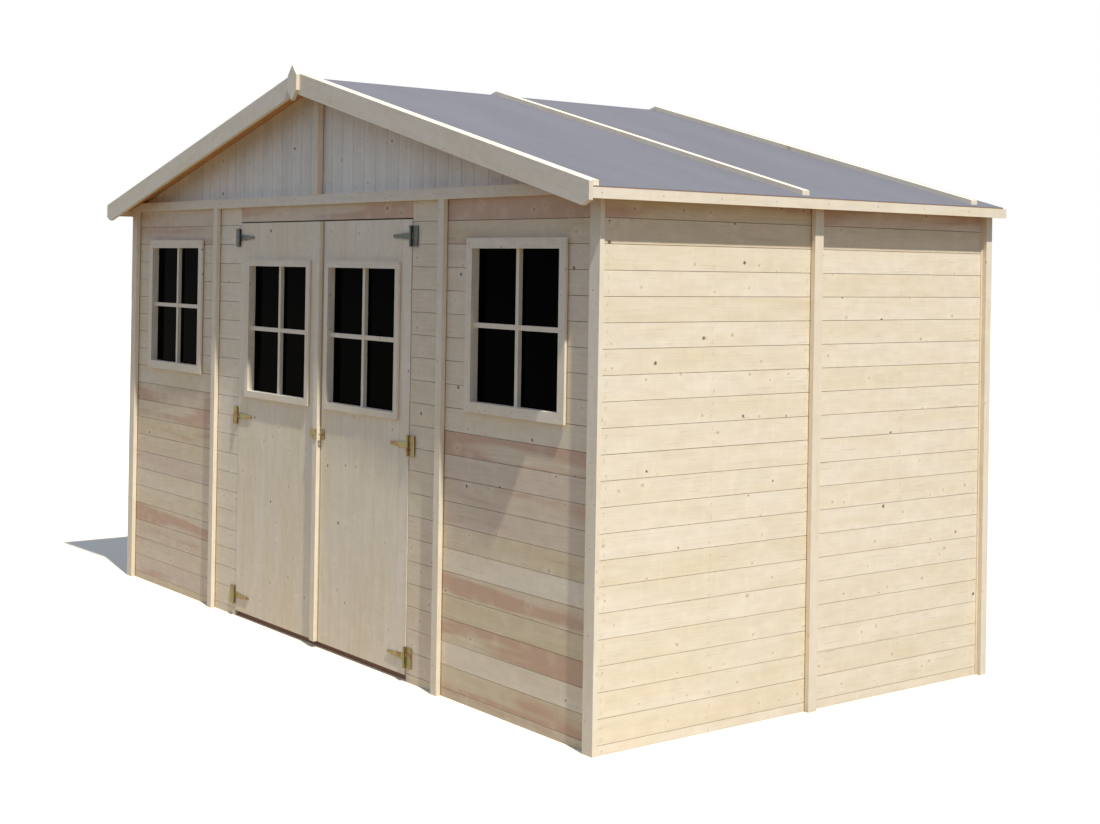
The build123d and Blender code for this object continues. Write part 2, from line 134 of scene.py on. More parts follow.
def linear(hex_colour):
    """The linear RGB of an sRGB hex value."""
    parts = [int(hex_colour[i : i + 2], 16) / 255 for i in (1, 3, 5)]
    return [c / 12.92 if c <= 0.04045 else ((c + 0.055) / 1.055) ** 2.4 for c in parts]


def add(tree, kind, inputs=None, **settings):
    """A node with its settings. An input is a value, a socket or a node, whose first output is linked."""
    node = tree.nodes.new(kind)
    for name, value in settings.items():
        setattr(node, name, value)
    for key, value in (inputs or {}).items():
        if isinstance(value, bpy.types.Node):
            value = value.outputs[0]
        if isinstance(value, bpy.types.NodeSocket):
            tree.links.new(value, node.inputs[key])
        else:
            node.inputs[key].default_value = value
    return node


# Sizes and colours that a user would change


class ShedBoards(bpy.types.PropertyGroup):
    """Boards of the walls, doors, floor and roof."""

    cover: bpy.props.FloatProperty(
        name="Board cover", description="Width that each board shows", default=0.092, unit="LENGTH"
    )
    groove_width: bpy.props.FloatProperty(
        name="Groove width", description="Width of the groove between two boards",
        default=0.005, unit="LENGTH",
    )
    groove_depth: bpy.props.FloatProperty(
        name="Groove depth", description="Depth of the groove between two boards",
        default=0.0065, unit="LENGTH",
    )
    eased_edge: bpy.props.FloatProperty(
        name="Eased edge", description="Width of the bevel along each board's edges",
        default=0.0012, unit="LENGTH",
    )
    seed: bpy.props.IntProperty(
        name="Board seed", description="Chooses which boards are paler or warmer", default=7
    )


class ShedGlazing(bpy.types.PropertyGroup):
    """Glazing bars of the windows."""

    bar_width: bpy.props.FloatProperty(
        name="Bar width", description="Face width of a glazing bar", default=0.019, unit="LENGTH"
    )
    bar_depth: bpy.props.FloatProperty(
        name="Bar depth", description="Depth of a glazing bar in front of the glass",
        default=0.017, unit="LENGTH",
    )
    glass: bpy.props.FloatVectorProperty(
        name="Glass", description="Colour of the dark glazing", default=linear("#030303"), subtype="COLOR"
    )


class ShedFixings(bpy.types.PropertyGroup):
    """Nails in the boards and screws in the fittings."""

    nail_radius: bpy.props.FloatProperty(
        name="Nail head radius", description="Radius of a nail's head", default=0.0021, unit="LENGTH"
    )
    nail_rise: bpy.props.FloatProperty(
        name="Nail head height", description="Height of a nail's head above the wood",
        default=0.0006, unit="LENGTH",
    )
    nail_margin: bpy.props.FloatProperty(
        name="Nail margin", description="From a board's edge to its nails", default=0.022, unit="LENGTH"
    )
    screw_radius: bpy.props.FloatProperty(
        name="Screw head radius", description="Radius of a screw's head", default=0.0038, unit="LENGTH"
    )
    screw_rise: bpy.props.FloatProperty(
        name="Screw head height", description="Height of a screw's head above the plate",
        default=0.0011, unit="LENGTH",
    )


class ShedFinish(bpy.types.PropertyGroup):
    """Colours of the wood, the felt and the metal."""

    sapwood: bpy.props.FloatVectorProperty(
        name="Sapwood", description="Palest spruce", default=linear("#F3E4C8"), subtype="COLOR"
    )
    ripe_wood: bpy.props.FloatVectorProperty(
        name="Ripe wood", description="Warmer spruce boards", default=linear("#EBD8B2"), subtype="COLOR"
    )
    heartwood: bpy.props.FloatVectorProperty(
        name="Heartwood", description="Reddish spruce boards", default=linear("#CFAA8D"), subtype="COLOR"
    )
    straw: bpy.props.FloatVectorProperty(
        name="Straw wood", description="Yellower of the dull boards",
        default=linear("#DAC59B"), subtype="COLOR",
    )
    grey_wood: bpy.props.FloatVectorProperty(
        name="Grey wood", description="Greyer of the dull boards",
        default=linear("#DCC6AE"), subtype="COLOR",
    )
    # Painted shade: the gables' boards are drawn cooler and less yellow than the walls', for the cool light
    # in the shade under the roof's overhang
    gable_wood: bpy.props.FloatVectorProperty(
        name="Gable boards", description="Cooler, bleached boards of the gables",
        default=linear("#FAF0DA"), subtype="COLOR",
    )
    soffit: bpy.props.FloatVectorProperty(
        name="Roof boards", description="Orange-brown wood under the roof",
        default=linear("#C98F5C"), subtype="COLOR",
    )
    # Brown wood, and drawn darker than the wood is as painted shade under the door leaves
    threshold: bpy.props.FloatVectorProperty(
        name="Threshold", description="Brown wood under the doors",
        default=linear("#9C755A"), subtype="COLOR",
    )
    knot: bpy.props.FloatVectorProperty(
        name="Knots", description="Dark middle of a knot", default=linear("#7A573E"), subtype="COLOR"
    )
    felt: bpy.props.FloatVectorProperty(
        name="Felt", description="Mineral granules of the roofing felt",
        default=linear("#737173"), subtype="COLOR",
    )
    zinc: bpy.props.FloatVectorProperty(
        name="Zinc", description="Yellow passivated zinc on the fittings",
        default=linear("#8C8053"), subtype="COLOR",
    )
    nail: bpy.props.FloatVectorProperty(
        name="Trim nails", description="Dark heads of the nails in the trims",
        default=linear("#5E5449"), subtype="COLOR",
    )
    wall_nail: bpy.props.FloatVectorProperty(
        name="Board nails", description="Dusty heads of the nails in the boards",
        default=linear("#B8A88C"),
        subtype="COLOR",
    )


class ShedStudio(bpy.types.PropertyGroup):
    """Camera and lights."""

    camera_place: bpy.props.FloatVectorProperty(
        name="Camera place", description="Where the camera stands",
        default=(6.417, -4.672, 1.698), subtype="XYZ",
    )
    heading: bpy.props.FloatProperty(
        name="Heading", description="Turn of the camera to the left of +Y",
        default=math.radians(52.58), unit="ROTATION",
    )
    tilt: bpy.props.FloatProperty(
        name="Tilt", description="Upward tilt of the camera", default=math.radians(0.25), unit="ROTATION"
    )
    roll: bpy.props.FloatProperty(
        name="Roll", description="Roll of the camera", default=math.radians(0.92), unit="ROTATION"
    )
    focal_pixels: bpy.props.FloatProperty(
        name="Focal length in pixels", description="Focal length in the photograph's pixels",
        default=1641.1,
    )
    axis_row: bpy.props.FloatProperty(
        name="Axis row", description="Pixel row that the camera's axis meets, from the top", default=260.0
    )
    sun: bpy.props.FloatProperty(name="Key light", description="Strength of the key light", default=4.12)
    sun_height: bpy.props.FloatProperty(
        name="Key height", description="Height of the key light",
        default=math.radians(60.5), unit="ROTATION",
    )
    sun_turn: bpy.props.FloatProperty(
        name="Key turn", description="Turn of the key light from +X towards the front",
        default=math.radians(11), unit="ROTATION",
    )
    sky: bpy.props.FloatVectorProperty(
        name="Sky", description="Even light of the open sky", default=(0.31, 0.40, 0.62), subtype="COLOR"
    )


IMAGE_WIDTH = 1100
IMAGE_HEIGHT = 824
SENSOR_WIDTH = 36.0


def blank(name):
    """A new material with its Principled shader, and its tree."""
    material = bpy.data.materials.new(name)
    material.use_nodes = True
    shader = next(n for n in material.node_tree.nodes if n.type == "BSDF_PRINCIPLED")
    return material, material.node_tree, shader


def straight(along, across):
    """Grain in one direction, and the direction across it."""
    return lambda tree, place: (along, across)


def round_a_window(middle, height):
    """Grain along each piece of the casings: level above and below the glass, upright beside it."""

    def run(tree, place):
        z = add(tree, "ShaderNodeSeparateXYZ", {0: place}).outputs["Z"]
        offset = add(tree, MATH, {0: z, 1: middle}, operation="SUBTRACT")
        offset = add(tree, MATH, {0: offset}, operation="ABSOLUTE")
        outside = add(tree, MATH, {0: offset, 1: height / 2}, operation="GREATER_THAN")
        return [
            add(tree, MIX, {"Factor": outside, 4: beside, 5: above}, data_type="VECTOR").outputs[1]
            for beside, above in zip(UPRIGHT, LEVEL)
        ]

    return run


def spruce(name, run, roughness, knots, shade, stain):
    """Planed spruce: cream to straw by the board, redder where there is heartwood, faint rings, small knots.

    The boards' own tone and heartwood come from attributes, and pieces without them stay pale.
    """
    finish = bpy.context.scene.shed_finish
    material, tree, shader = blank(name)

    place = add(tree, "ShaderNodeTexCoord").outputs["Object"]
    along, across = [
        add(tree, VECTOR_MATH, {0: place, 1: direction}, operation="DOT_PRODUCT").outputs["Value"]
        for direction in run(tree, place)
    ]
    tone = add(tree, "ShaderNodeAttribute", attribute_name="board_tone").outputs["Fac"]
    heart = add(tree, "ShaderNodeAttribute", attribute_name="heartwood").outputs["Fac"]
    plank = add(tree, MATH, {0: tone, 1: 47.0}, operation="MULTIPLY")
    grain = add(tree, "ShaderNodeCombineXYZ", {0: along, 1: across, 2: plank})

    def clouds(along_scale, across_scale, low, high, bottom, top, detail=2.0):
        """Soft clouds, that many to a metre of grain, mapped from their range to the one asked for."""
        at = add(tree, VECTOR_MATH, {0: grain, 1: (along_scale, across_scale, 1)}, operation="MULTIPLY")
        cloud = add(tree, "ShaderNodeTexNoise", {"Vector": at, "Scale": 1.0, "Detail": detail})
        return add(tree, "ShaderNodeMapRange", {0: cloud, 1: low, 2: high, 3: bottom, 4: top})

    # Knots 6 to 16 mm across, two or three to a metre of board: most are pale and tan, and some are dark
    wander = add(tree, "ShaderNodeTexNoise", {"Vector": place, "Scale": 70.0, "Detail": 1.0}).outputs["Color"]
    wander = add(tree, VECTOR_MATH, {0: wander, 1: (0.07, 0.07, 0.0)}, operation="MULTIPLY")
    at = add(tree, VECTOR_MATH, {0: grain, 1: (8.5, 9.5, 0.0), 2: wander}, operation="MULTIPLY_ADD")
    own_start = add(tree, VECTOR_MATH, {0: (0.71, 0.37, 0.0), 3: plank}, operation="SCALE")
    at = add(tree, VECTOR_MATH, {0: at, 1: own_start}, operation="ADD")
    cells = add(tree, "ShaderNodeTexVoronoi", {"Vector": at, "Scale": 1.0}, voronoi_dimensions="2D")
    chance = add(tree, "ShaderNodeSeparateColor", {0: cells.outputs["Color"]}).outputs
    # Heartwood has more knots, and darker ones
    rare = add(tree, MATH, {0: heart, 1: -0.22, 2: 0.6}, operation="MULTIPLY_ADD")
    there = add(tree, MATH, {0: chance[1], 1: rare}, operation="GREATER_THAN")
    edge = add(tree, "ShaderNodeMapRange", {0: chance[1], 1: 0.6, 2: 1.0, 3: 0.03, 4: 0.07})
    inside = add(tree, MATH, {0: edge, 1: cells.outputs["Distance"]}, operation="SUBTRACT")
    knot = add(tree, "ShaderNodeMapRange", {0: inside, 1: -0.015, 2: 0.02, 3: 0.0, 4: knots})
    knot = add(tree, MATH, {0: knot, 1: there}, operation="MULTIPLY")
    rim = add(tree, "ShaderNodeMapRange", {0: inside, 1: -0.3, 2: -0.01, 3: 0.0, 4: 1.0})
    rim = add(tree, MATH, {0: rim, 1: there}, operation="MULTIPLY")
    redder = add(tree, MATH, {0: heart, 1: 0.35, 2: chance[0]}, operation="MULTIPLY_ADD")
    darkness = add(tree, "ShaderNodeMapRange", {0: redder, 1: 0.82, 2: 0.94, 3: 0.0, 4: 1.0})

    # Growth rings of flat-sawn wood, 5 to 20 mm apart, that bend round the knots
    swell = clouds(0.9, 11.0, 0.0, 1.0, 0.0, 1.0, 1.0)
    bent = add(tree, MATH, {0: rim, 1: 0.1, 2: swell}, operation="MULTIPLY_ADD")
    ring = add(tree, MATH, {0: bent, 1: 90.0}, operation="MULTIPLY")
    ring = add(tree, MATH, {0: ring}, operation="SINE")
    ring = add(tree, "ShaderNodeMapRange", {0: ring, 1: -0.2, 2: 1.0})
    ring_depth = add(tree, MATH, {0: heart, 1: 0.12, 2: 0.055}, operation="MULTIPLY_ADD")
    ring = add(tree, MATH, {0: ring, 1: ring_depth}, operation="MULTIPLY")
    # Fine streaks, 3 to 5 mm wide, which are drawn coarser than real fibres
    streaks = clouds(1.8, 210.0, 0.3, 0.7, 0.975, 1.02, 3.0)
    # Mottling, 30 to 60 mm across
    mottle = clouds(14.0, 24.0, 0.3, 0.7, 0.965, 1.03)
    # Short pale marks across the grain, 15 mm wide, and thin dark checks along it
    flecks = clouds(34.0, 8.0, 0.56, 0.74, 1.0, 1.045)
    checks = clouds(7.0, 260.0, 0.68, 0.74, 0.0, 0.3)

    def shaded(colour):
        return [*[c * shade for c in colour], 1.0]

    lightest, warmer = finish.sapwood, finish.ripe_wood
    if stain is not None:
        lightest, warmer = stain, [c * 0.8 for c in stain]
    pale, warm, dark = shaded(lightest), shaded(warmer), shaded(finish.knot)
    late = [warm[0] * 0.66, warm[1] * 0.55, warm[2] * 0.4, 1]
    bright = [min(1.0, c * 1.1) for c in pale[:3]] + [1]
    broad = clouds(2.6, 13.0, 0.3, 0.7, -0.15, 0.5)
    warmth = add(tree, MATH, {0: tone, 1: 0.5, 2: broad}, operation="MULTIPLY_ADD")
    # Up to half a share of heartwood gives a darker straw board
    spread = clouds(1.1, 12.0, 0.3, 0.7, 0.0, 1.0)
    straw, grey = shaded(finish.straw), shaded(finish.grey_wood)
    dull = add(tree, MIX, {"Factor": tone, 6: straw, 7: grey}, data_type="RGBA").outputs[2]
    dulled = add(tree, MATH, {0: heart, 1: 2.0}, operation="MULTIPLY")
    dulled = add(tree, MATH, {0: dulled, 1: 1.0}, operation="MINIMUM")
    cloudy = add(tree, MATH, {0: spread, 1: 0.45, 2: 0.6}, operation="MULTIPLY_ADD")
    dulled = add(tree, MATH, {0: dulled, 1: cloudy}, operation="MULTIPLY")
    # Above that, the red of the heartwood fills long patches with a wavy edge
    filled = add(tree, MATH, {0: heart, 1: 1.2, 2: -1.42}, operation="MULTIPLY_ADD")
    filled = add(tree, MATH, {0: spread, 1: filled}, operation="ADD")
    patch = add(tree, "ShaderNodeMapRange", {0: filled, 1: -0.04, 2: 0.2, 3: 0.0, 4: 0.9})
    level = add(tree, MATH, {0: streaks, 1: mottle}, operation="MULTIPLY")
    level = add(tree, MATH, {0: level, 1: flecks}, operation="MULTIPLY")
    ringed = add(tree, MATH, {0: rim, 1: 0.2}, operation="MULTIPLY")
    knot_share = add(tree, MATH, {0: darkness, 1: 0.4, 2: 0.55}, operation="MULTIPLY_ADD")
    knot_share = add(tree, MATH, {0: knot, 1: knot_share}, operation="MULTIPLY")
    knot_wood = add(tree, MIX, {"Factor": darkness, 6: late, 7: dark}, data_type="RGBA").outputs[2]

    wood = add(tree, MIX, {"Factor": warmth, 6: pale, 7: warm}, data_type="RGBA").outputs[2]
    for share, over in ((dulled, dull), (patch, shaded(finish.heartwood)), (ring, late)):
        wood = add(tree, MIX, {"Factor": share, 6: wood, 7: over}, data_type="RGBA").outputs[2]
    wood = add(tree, VECTOR_MATH, {0: wood, 1: level}, operation="MULTIPLY")
    for share, over in ((ringed, bright), (checks, dark), (knot_share, knot_wood)):
        wood = add(tree, MIX, {"Factor": share, 6: wood, 7: over}, data_type="RGBA").outputs[2]
    tree.links.new(wood, shader.inputs["Base Color"])
    shader.inputs["Roughness"].default_value = roughness
    shader.inputs["Specular IOR Level"].default_value = 0.25
    bump = add(tree, "ShaderNodeBump", {"Height": streaks, "Strength": 0.3, "Distance": 0.002})
    tree.links.new(bump.outputs[0], shader.inputs["Normal"])
    return material


def mineral_felt():
    """Bitumen felt with slate granules: a dull blue-grey with a sandy grain and faint rolls of tone."""
    material, tree, shader = blank("mineral_roofing_felt")
    felt = bpy.context.scene.shed_finish.felt
    place = add(tree, "ShaderNodeTexCoord").outputs["Object"]
    # Granules of 1 mm, drawn 5 mm across so that they show
    granules = add(tree, "ShaderNodeTexNoise", {"Vector": place, "Scale": 210.0, "Detail": 2.0})
    stretched = add(tree, VECTOR_MATH, {0: place, 1: (0.8, 3.0, 1.0)}, operation="MULTIPLY")
    rolls = add(tree, "ShaderNodeTexNoise", {"Vector": stretched, "Scale": 1.4, "Detail": 2.0})
    fine = add(tree, "ShaderNodeMapRange", {0: granules, 1: 0.3, 2: 0.7, 3: 0.86, 4: 1.14})
    wide = add(tree, "ShaderNodeMapRange", {0: rolls, 1: 0.3, 2: 0.7, 3: 0.95, 4: 1.05})
    level = add(tree, MATH, {0: fine, 1: wide}, operation="MULTIPLY")
    colour = add(tree, VECTOR_MATH, {0: tuple(felt), 1: level}, operation="MULTIPLY")
    tree.links.new(colour.outputs[0], shader.inputs["Base Color"])
    shader.inputs["Roughness"].default_value = 0.92
    shader.inputs["Specular IOR Level"].default_value = 0.25
    bump = add(tree, "ShaderNodeBump", {"Height": granules, "Strength": 0.5, "Distance": 0.001})
    tree.links.new(bump.outputs[0], shader.inputs["Normal"])
    return material


def dark_glazing():
    """Clear glazing in front of an unlit room, which the eye sees as a smooth black sheet."""
    material, tree, shader = blank("dark_glazing")
    glass = bpy.context.scene.shed_glazing.glass
    place = add(tree, "ShaderNodeTexCoord").outputs["Object"]
    # Slight waves in the sheet, about 0.3 m apart
    waves = add(tree, "ShaderNodeTexNoise", {"Vector": place, "Scale": 3.5, "Detail": 1.0})
    bump = add(tree, "ShaderNodeBump", {"Height": waves, "Strength": 0.05, "Distance": 0.002})
    tint = add(tree, "ShaderNodeMapRange", {0: waves, 1: 0.3, 2: 0.7, 3: 0.8, 4: 1.2})
    colour = add(tree, VECTOR_MATH, {0: tuple(glass), 1: tint}, operation="MULTIPLY")
    tree.links.new(colour.outputs[0], shader.inputs["Base Color"])
    tree.links.new(bump.outputs[0], shader.inputs["Normal"])
    shader.inputs["Roughness"].default_value = 0.12
    shader.inputs["Specular IOR Level"].default_value = 0.003
    return material


def yellow_zinc():
    """Yellow passivated zinc on pressed steel: olive gold with russet clouds, and on the top hinges a painted
    shade of dark slate where the roof's overhang shades them.
    """
    material, tree, shader = blank("yellow_zinc_plated_steel")
    zinc = list(bpy.context.scene.shed_finish.zinc)
    place = add(tree, "ShaderNodeTexCoord").outputs["Object"]
    # Clouds of the passivation, 10 to 30 mm across
    clouds = add(tree, "ShaderNodeTexNoise", {"Vector": place, "Scale": 40.0, "Detail": 2.0})
    ramp = add(tree, "ShaderNodeValToRGB", {"Fac": clouds})
    ramp.color_ramp.elements[0].position = 0.36
    ramp.color_ramp.elements[0].color = [zinc[0] * 0.8, zinc[1] * 0.88, zinc[2] * 1.0, 1]
    ramp.color_ramp.elements[1].position = 0.66
    ramp.color_ramp.elements[1].color = [zinc[0] * 0.85, zinc[1] * 0.5, zinc[2] * 0.7, 1]
    ramp.color_ramp.elements.new(0.5).color = zinc + [1]
    # Painted shade: high up under the roof's overhang the plating is drawn dark slate, for the shade and the
    # dark reflection there
    height = add(tree, "ShaderNodeSeparateXYZ", {0: place}).outputs["Z"]
    painted_overhang_shade = add(tree, "ShaderNodeMapRange", {0: height, 1: 1.55, 2: 1.7, 3: 0.0, 4: 0.85})
    slate = linear("#33434B") + [1]
    colour = add(tree, MIX, {"Factor": painted_overhang_shade, 6: ramp.outputs["Color"], 7: slate}, data_type="RGBA")
    tree.links.new(colour.outputs[2], shader.inputs["Base Color"])
    shader.inputs["Metallic"].default_value = 0.8
    rough = add(tree, "ShaderNodeMapRange", {0: clouds, 1: 0.3, 2: 0.7, 3: 0.36, 4: 0.5})
    tree.links.new(rough.outputs[0], shader.inputs["Roughness"])
    return material


def nail_steel(name, colour):
    """Heads of wire nails: dulled and dark in the trims, and dusty with wood in the boards."""
    material, tree, shader = blank(name)
    place = add(tree, "ShaderNodeTexCoord").outputs["Object"]
    # Each head takes its own tone, because the pattern is far coarser than a head
    spots = add(tree, "ShaderNodeTexNoise", {"Vector": place, "Scale": 30.0, "Detail": 0.0})
    level = add(tree, "ShaderNodeMapRange", {0: spots, 1: 0.3, 2: 0.7, 3: 0.6, 4: 1.3})
    colour = add(tree, VECTOR_MATH, {0: tuple(colour), 1: level}, operation="MULTIPLY")
    tree.links.new(colour.outputs[0], shader.inputs["Base Color"])
    shader.inputs["Metallic"].default_value = 0.6
    shader.inputs["Roughness"].default_value = 0.5
    return material


MATERIALS = {}


def finish_of(name):
    """The material of that name, made once."""
    if name in MATERIALS:
        return MATERIALS[name]
    finish = bpy.context.scene.shed_finish
    if name in WOODS:
        label, grain, roughness, knots, shade, stain = WOODS[name]
        stain = stain and getattr(finish, stain)
        material = spruce(label, straight(*grain), roughness, knots, shade, stain)
    elif name.endswith("casings"):
        low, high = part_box("window_panes" if name == "wall_casings" else "right_door_pane")
        run = round_a_window((low.z + high.z) / 2, high.z - low.z)
        material = spruce("planed_spruce_" + name, run, 0.62, 0.7, 0.97, None)
    elif name.endswith("nail"):
        label = "dusty_nail_steel" if name == "wall_nail" else "dull_nail_steel"
        material = nail_steel(label, getattr(finish, name))
    else:
        material = {"felt": mineral_felt, "glass": dark_glazing, "zinc": yellow_zinc}[name]()
    MATERIALS[name] = material
    return material


def dress(node, finish):
    """Gives a model node its material."""
    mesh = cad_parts[node].data
    mesh.materials.clear()
    mesh.materials.append(finish_of(finish))


def put_in_scene(name, mesh):
    """A new object at the origin that shows the mesh."""
    mesh.name = name
    piece = bpy.data.objects.new(name, mesh)
    bpy.context.scene.collection.objects.link(piece)
    return piece


def grown(source, tree, values):
    """The plain mesh that a Geometry Nodes tree makes of the source object, which is then removed."""
    modifier = source.modifiers.new(tree.name, "NODES")
    modifier.node_group = tree
    sockets = {s.name: s.identifier for s in tree.interface.items_tree if s.in_out == "INPUT"}
    for name, value in values.items():
        modifier[sockets[name]] = value
    bpy.context.view_layer.update()
    evaluated = source.evaluated_get(bpy.context.evaluated_depsgraph_get())
    mesh = bpy.data.meshes.new_from_object(evaluated)
    source.modifiers.remove(modifier)
    old = source.data
    bpy.data.objects.remove(source)
    bpy.data.meshes.remove(old)
    return mesh


def node_tree(name, inputs):
    """A Geometry Nodes tree with a geometry input and output and the named inputs, and its group input."""
    tree = bpy.data.node_groups.new(name, "GeometryNodeTree")
    tree.interface.new_socket("Geometry", in_out="INPUT", socket_type="NodeSocketGeometry")
    tree.interface.new_socket("Geometry", in_out="OUTPUT", socket_type="NodeSocketGeometry")
    for label, kind in inputs.items():
        tree.interface.new_socket(label, in_out="INPUT", socket_type=f"NodeSocket{kind}")
    return tree, add(tree, "NodeGroupInput").outputs


def end_tree(tree, geometry, material):
    """Real meshes with their material, at the end of a tree."""
    real = add(tree, "GeometryNodeRealizeInstances", {0: geometry})
    set_up = add(tree, "GeometryNodeSetMaterial", {"Geometry": real, "Material": material})
    add(tree, "NodeGroupOutput", {0: set_up})


def board_tree():
    """Turns each face into a tongue-and-groove board: a full-width body, a groove, and an eased face."""
    inputs = {
        "Thickness": "Float", "Groove width": "Float", "Groove depth": "Float", "Eased edge": "Float",
        "Across": "Vector", "Seed": "Int", "Material": "Material",
    }
    tree, given = node_tree("shed_boards", inputs)
    tone = add(tree, "FunctionNodeRandomValue", {"Seed": given["Seed"]}, data_type="FLOAT")
    toned = add(
        tree, "GeometryNodeStoreNamedAttribute",
        {"Geometry": given["Geometry"], "Name": "board_tone", "Value": tone.outputs[1]},
        data_type="FLOAT", domain="FACE",
    )
    board_width = add(tree, "GeometryNodeInputNamedAttribute", {"Name": "board_width"}, data_type="FLOAT")
    depth, eased = given["Groove depth"], given["Eased edge"]
    body = add(tree, MATH, {0: given["Thickness"], 1: depth}, operation="SUBTRACT")
    cheek = add(tree, MATH, {0: depth, 1: eased}, operation="SUBTRACT")
    ledge = add(tree, MATH, {0: given["Groove width"], 1: eased}, operation="SUBTRACT")
    both_edges = add(tree, MATH, {0: eased, 1: 2.0}, operation="MULTIPLY")
    shape = toned
    for rise, loss in ((body, None), (0.0, ledge), (cheek, None), (eased, both_edges)):
        raised = {"Mesh": shape, "Offset Scale": rise, "Individual": False}
        grow = shape = add(tree, "GeometryNodeExtrudeMesh", raised, mode="FACES")
        if loss is not None:
            share = add(tree, MATH, {0: loss, 1: board_width}, operation="DIVIDE")
            factor = add(tree, MATH, {0: 1.0, 1: share}, operation="SUBTRACT")
            narrower = {
                "Geometry": grow, "Selection": grow.outputs["Top"], "Scale": factor, "Axis": given["Across"],
            }
            settings = {"domain": "FACE", "scale_mode": "SINGLE_AXIS"}
            shape = add(tree, "GeometryNodeScaleElements", narrower, **settings)
    back = add(tree, "GeometryNodeFlipFaces", {0: toned})
    closed = add(tree, "GeometryNodeJoinGeometry")
    tree.links.new(shape.outputs[0], closed.inputs[0])
    tree.links.new(back.outputs[0], closed.inputs[0])
    whole = add(tree, "GeometryNodeMergeByDistance", {"Geometry": closed, "Distance": MERGE_DISTANCE})
    end_tree(tree, whole, given["Material"])
    return tree


def head_tree(name, sides):
    """Puts a low domed head on each point, turned to face outwards."""
    inputs = {"Radius": "Float", "Rise": "Float", "Facing": "Vector", "Material": "Material"}
    tree, given = node_tree(name, inputs)
    rim = add(tree, MATH, {0: given["Radius"], 1: 0.6}, operation="MULTIPLY")
    head = add(
        tree, "GeometryNodeMeshCone",
        {"Vertices": sides, "Radius Top": rim, "Radius Bottom": given["Radius"], "Depth": given["Rise"]},
        fill_type="NGON",
    )
    heads = add(
        tree, "GeometryNodeInstanceOnPoints",
        {"Points": given["Geometry"], "Instance": head.outputs["Mesh"], "Rotation": given["Facing"]},
    )
    end_tree(tree, heads, given["Material"])
    return tree


def bar_tree():
    """A cross of glazing bars on each point: one upright, and one level bar let into it."""
    inputs = {
        "Glass width": "Float", "Glass height": "Float", "Bar width": "Float", "Bar depth": "Float",
        "Material": "Material",
    }
    tree, given = node_tree("shed_glazing_bars", inputs)
    slimmer = add(tree, MATH, {0: given["Bar depth"], 1: 0.9}, operation="MULTIPLY")
    bars = add(tree, "GeometryNodeJoinGeometry")
    sizes = (
        (given["Bar width"], given["Bar depth"], given["Glass height"]),
        (given["Glass width"], slimmer, given["Bar width"]),
    )
    for size in sizes:
        block = add(tree, "ShaderNodeCombineXYZ", dict(enumerate(size)))
        bar = add(tree, "GeometryNodeMeshCube", {"Size": block})
        shift = add(tree, MATH, {0: size[1], 1: -0.5}, operation="MULTIPLY")
        forward = add(tree, "ShaderNodeCombineXYZ", {1: shift})
        placed = add(tree, "GeometryNodeTransform", {"Geometry": bar, "Translation": forward})
        tree.links.new(placed.outputs[0], bars.inputs[0])
    crosses = add(tree, "GeometryNodeInstanceOnPoints", {"Points": given["Geometry"], "Instance": bars})
    end_tree(tree, crosses, given["Material"])
    return tree


class Plane:
    """A flat place to lay boards on: local u and v, and the direction that the boards face."""

    def __init__(self, origin, u, v):
        self.origin, self.u, self.v = Vector(origin), Vector(u), Vector(v)
        self.normal = self.u.cross(self.v)

    def at(self, point):
        return self.origin + self.u * point[0] + self.v * point[1]


FRONT = Plane((0, FRONT_Y, 0), (1, 0, 0), (0, 0, 1))
REAR = Plane((0, REAR_Y, 0), (-1, 0, 0), (0, 0, 1))
RIGHT = Plane((SIDE_X, 0, 0), (0, 1, 0), (0, 0, 1))
LEFT = Plane((-SIDE_X, 0, 0), (0, -1, 0), (0, 0, 1))


def roof_underside(x):
    """Height of the underside of the roof boards at a distance x from the ridge."""
    return RIDGE_UNDERSIDE - abs(x) * SLOPE


def board_outlines(along, across, hole=None):
    """The outlines of one board: whole, split by a hole as wide as the board, or notched round its edge."""
    (a0, a1), (c0, c1) = along, across
    whole = [[(a0, c0), (a1, c0), (a1, c1), (a0, c1)]]
    if hole is None:
        return whole
    (h0, h1), (k0, k1) = hole
    if k0 >= c1 or k1 <= c0 or h0 >= a1 or h1 <= a0:
        return whole
    if k0 <= c0 and k1 >= c1:
        sides = [span for span in ((a0, h0), (h1, a1)) if span[1] - span[0] > 0.001]
        return [[(s0, c0), (s1, c0), (s1, c1), (s0, c1)] for s0, s1 in sides]
    if k0 > c0:
        return [[(a0, c0), (a1, c0), (a1, c1), (h1, c1), (h1, k0), (h0, k0), (h0, c1), (a0, c1)]]
    return [[(a0, c0), (h0, c0), (h0, k1), (h1, k1), (h1, c0), (a1, c0), (a1, c1), (a0, c1)]]


def rows_between(bottom, top, first, cover):
    """Edges of the boards from bottom to top, on lines a cover apart; a sliver joins its neighbour."""
    lines = [bottom]
    count = math.ceil((bottom - first) / cover - 0.001)
    while first + count * cover < top:
        line = first + count * cover
        if line - lines[-1] > SLIVER:
            lines.append(line)
        count += 1
    if len(lines) > 1 and top - lines[-1] < SLIVER:
        lines.pop()
    return list(zip(lines, lines[1:] + [top]))


